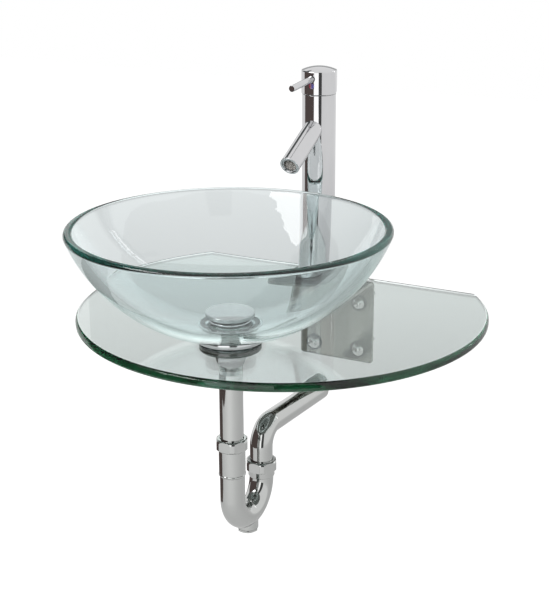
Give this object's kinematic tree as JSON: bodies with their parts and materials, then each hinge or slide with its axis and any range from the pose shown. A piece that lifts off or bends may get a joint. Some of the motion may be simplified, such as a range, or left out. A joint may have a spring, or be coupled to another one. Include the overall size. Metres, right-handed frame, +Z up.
{
  "type": "vessel sink on vanity",
  "caption": "Wall-hung round glass vessel sink on a glass shelf cut flat at the wall, with a tall single-lever faucet, push drain, chrome trap and wall bracket.",
  "frame": {"origin": "centre of the four wall screws, on the wall's face", "axes": "+X along the wall to the right as seen from the front, +Y into the wall, +Z up"},
  "size_m": [0.573, 0.592, 0.617],
  "materials": {
    "shelf_glass": "clear, green polished edge",
    "bowl_glass": "clear, green polished rim",
    "chrome": "polished",
    "stainless": "satin",
    "brass": "machined",
    "seal_rubber": "moulded",
    "grey_plastic": "moulded",
    "indicator": "half red, half blue"
  },
  "bodies": {
    "basin_set": {"aerator_gasket": "seal_rubber", "aerator_housing": "chrome", "aerator_mesh": "grey_plastic", "bowl_gasket": "seal_rubber", "bowl_ring": "chrome", "bracket_pad": "seal_rubber", "cartridge": "grey_plastic", "cartridge_nut": "brass", "drain_body": "chrome", "drain_flange_gasket": "seal_rubber", "drain_guide": "grey_plastic", "drain_lock_nut": "chrome", "drain_shelf_washer": "seal_rubber", "drain_spring": "stainless", "drain_tailpiece": "chrome", "faucet_base_gasket": "seal_rubber", "faucet_body": "chrome", "faucet_shank": "brass", "glass_bowl": "bowl_glass", "glass_shelf": "shelf_glass", "ring_gasket": "seal_rubber", "shank_nut": "brass", "shank_washer": "stainless", "trap_arm": "chrome", "trap_bend": "chrome", "trap_cleanout_gasket": "seal_rubber", "trap_cleanout_plug": "chrome", "trap_inlet_nut": "chrome", "trap_inlet_washer": "seal_rubber", "trap_outlet_nut": "chrome", "trap_outlet_washer": "seal_rubber", "wall_bracket": "stainless", "wall_screw_washers": "chrome", "wall_screws": "chrome"},
    "cartridge_turret": {"cartridge_carrier": "grey_plastic", "stem_pivot_pin": "stainless"},
    "handle": {"cartridge_stem": "grey_plastic", "handle_cap": "chrome", "lever_pin": "chrome", "handle_set_screw": "stainless", "indicator_button": "indicator"},
    "drain_plunger": {"drain_cap": "chrome", "drain_cap_seal": "seal_rubber", "drain_stem": "brass"}
  },
  "joints": [
    {"name": "handle_turn", "type": "hinge", "parent": "basin_set", "child": "cartridge_turret", "pos_m": [0, -0.07, 0.372], "axis": [0, 0, 1], "range_deg": [-45, 45]},
    {"name": "handle_lift", "type": "hinge", "parent": "cartridge_turret", "child": "handle", "pos_m": [0, -0.07, 0.372], "axis": [-1, 0, 0], "range_deg": [0, 20]},
    {"name": "drain_press", "type": "slide", "parent": "basin_set", "child": "drain_plunger", "axis": [0, 0, 1], "range_m": [-0.004, 0], "stiffness_N_per_m": 500, "springref_m": 0.008, "deforming": ["drain_spring"]}
  ]
}
